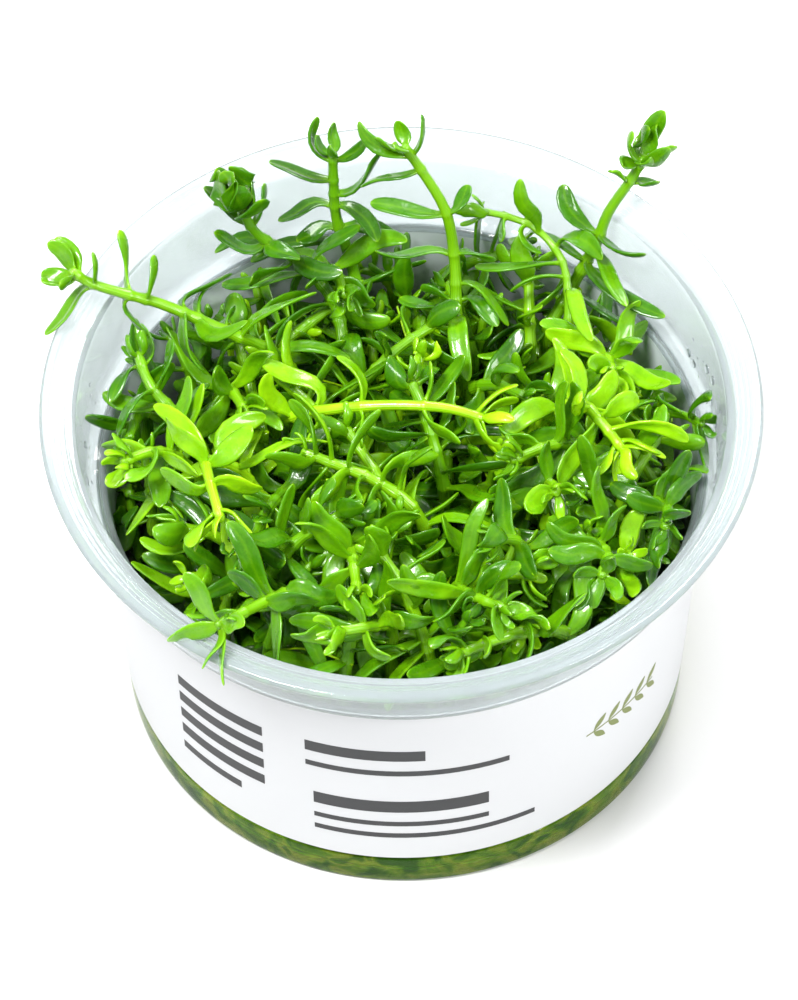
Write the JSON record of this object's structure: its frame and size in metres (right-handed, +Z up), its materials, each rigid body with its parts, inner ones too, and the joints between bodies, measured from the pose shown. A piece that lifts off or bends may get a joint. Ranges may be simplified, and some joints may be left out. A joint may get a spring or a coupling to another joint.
{
  "type": "potted aquarium stem plant",
  "caption": "Bushy green rotala stems with narrow opposite leaves, growing out of a clear round plastic tub with a wide rim and a blank paper label.",
  "frame": {"origin": "middle of the tub's flat underside", "axes": "+Z up out of the tub's mouth; -Y towards the side seen in front, over which the plain label faces"},
  "size_m": [0.101, 0.101, 0.08],
  "materials": {
    "clear_plastic": "gloss",
    "label_paper": "satin",
    "jelly": "gloss",
    "old_growth": "satin",
    "leaf_bright": "gloss",
    "leaf_light": "gloss",
    "leaf_mid": "gloss",
    "leaf_deep": "gloss",
    "leaf_dark": "gloss"
  },
  "bodies": {
    "root": {"tub": "clear_plastic", "label": "label_paper", "jelly": "jelly", "tangle": "old_growth", "stem_17": "leaf_light", "stem_18": "leaf_deep", "stem_19": "leaf_bright", "stem_20": "leaf_dark", "stem_21": "leaf_mid", "stem_22": "leaf_light", "stem_23": "leaf_deep", "stem_24": "leaf_bright", "stem_25": "leaf_dark", "stem_26": "leaf_mid", "stem_27": "leaf_light", "stem_28": "leaf_deep", "stem_29": "leaf_bright", "stem_30": "leaf_dark", "stem_31": "leaf_mid", "stem_32": "leaf_light", "stem_33": "leaf_deep", "stem_34": "leaf_bright", "stem_35": "leaf_dark", "stem_36": "leaf_mid", "stem_37": "leaf_light", "stem_38": "leaf_deep", "stem_39": "leaf_bright", "stem_40": "leaf_dark", "stem_41": "leaf_mid", "stem_42": "leaf_light", "stem_43": "leaf_deep", "stem_44": "leaf_bright", "stem_45": "leaf_dark", "stem_bright": "leaf_bright", "stem_bud": "leaf_deep", "stem_centre": "leaf_deep", "stem_far_left": "leaf_light", "stem_front": "leaf_dark", "stem_front_left": "leaf_mid", "stem_front_right": "leaf_light", "stem_left_bright": "leaf_bright", "stem_left_droop": "leaf_bright", "stem_over_rim": "leaf_light", "stem_right": "leaf_mid", "stem_right_bright": "leaf_bright", "stem_right_edge": "leaf_deep", "stem_tall": "leaf_mid", "stem_thin": "leaf_light", "stem_twin": "leaf_deep"}
  },
  "joints": []
}
